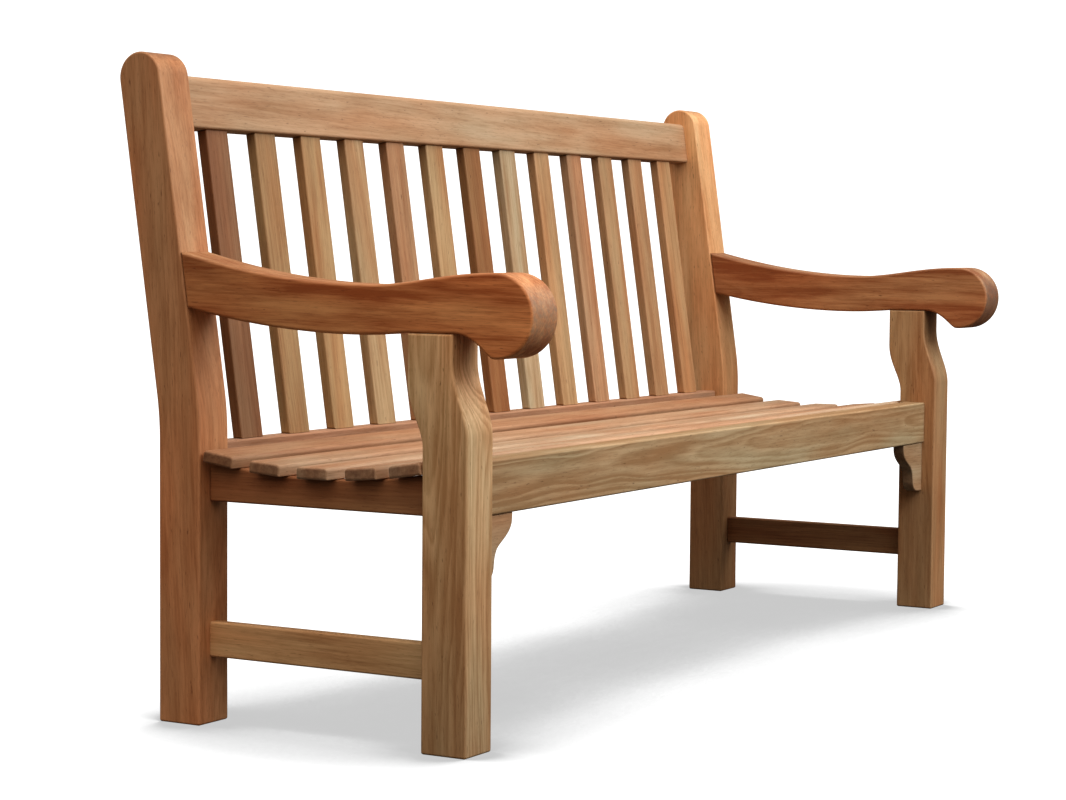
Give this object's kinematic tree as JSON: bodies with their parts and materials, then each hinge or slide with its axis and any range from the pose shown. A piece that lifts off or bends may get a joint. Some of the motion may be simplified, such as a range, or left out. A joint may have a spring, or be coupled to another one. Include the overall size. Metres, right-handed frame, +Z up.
{
  "type": "garden bench",
  "caption": "Free-standing teak garden bench with scrolled arms, a raked back of upright slats and a dished slatted seat.",
  "frame": {"origin": "centre of the ground plan, at the soles of the feet", "axes": "+X along the bench to the right as seen from the front, +Y from front to back, +Z up"},
  "size_m": [1.8, 0.7046, 0.982],
  "materials": {
    "post": "oiled teak, satin",
    "arm": "oiled teak, satin",
    "rail": "oiled teak, satin",
    "back_slat": "oiled teak, satin",
    "seat_slat": "oiled teak, satin",
    "under": "oiled teak, satin",
    "peg": "end grain, dull",
    "screw": "dull brass"
  },
  "bodies": {
    "root": {"back_post_left": "post", "front_post_left": "post", "arm_left": "arm", "side_seat_rail_left": "under", "side_stretcher_left": "under", "corner_bracket_left": "rail", "seat_bearer_left": "under", "rail_peg_top_left": "peg", "rail_peg_lower_left": "peg", "back_post_right": "post", "front_post_right": "post", "arm_right": "arm", "side_seat_rail_right": "under", "side_stretcher_right": "under", "corner_bracket_right": "rail", "seat_bearer_right": "under", "rail_peg_top_right": "peg", "rail_peg_lower_right": "peg", "top_back_rail": "rail", "lower_back_rail": "rail", "back_slat_01": "back_slat", "back_slat_02": "back_slat", "back_slat_03": "back_slat", "back_slat_04": "back_slat", "back_slat_05": "back_slat", "back_slat_06": "back_slat", "back_slat_07": "back_slat", "back_slat_08": "back_slat", "back_slat_09": "back_slat", "back_slat_10": "back_slat", "back_slat_11": "back_slat", "back_slat_12": "back_slat", "back_slat_13": "back_slat", "front_seat_rail": "rail", "seat_slat_1": "seat_slat", "seat_screw_1_1": "screw", "seat_screw_1_2": "screw", "seat_screw_1_3": "screw", "seat_screw_1_4": "screw", "seat_slat_2": "seat_slat", "seat_screw_2_1": "screw", "seat_screw_2_2": "screw", "seat_screw_2_3": "screw", "seat_screw_2_4": "screw", "seat_slat_3": "seat_slat", "seat_screw_3_1": "screw", "seat_screw_3_2": "screw", "seat_screw_3_3": "screw", "seat_screw_3_4": "screw", "seat_slat_4": "seat_slat", "seat_screw_4_1": "screw", "seat_screw_4_2": "screw", "seat_screw_4_3": "screw", "seat_screw_4_4": "screw", "seat_slat_5": "seat_slat", "seat_screw_5_1": "screw", "seat_screw_5_2": "screw", "seat_screw_5_3": "screw", "seat_screw_5_4": "screw"}
  },
  "joints": []
}
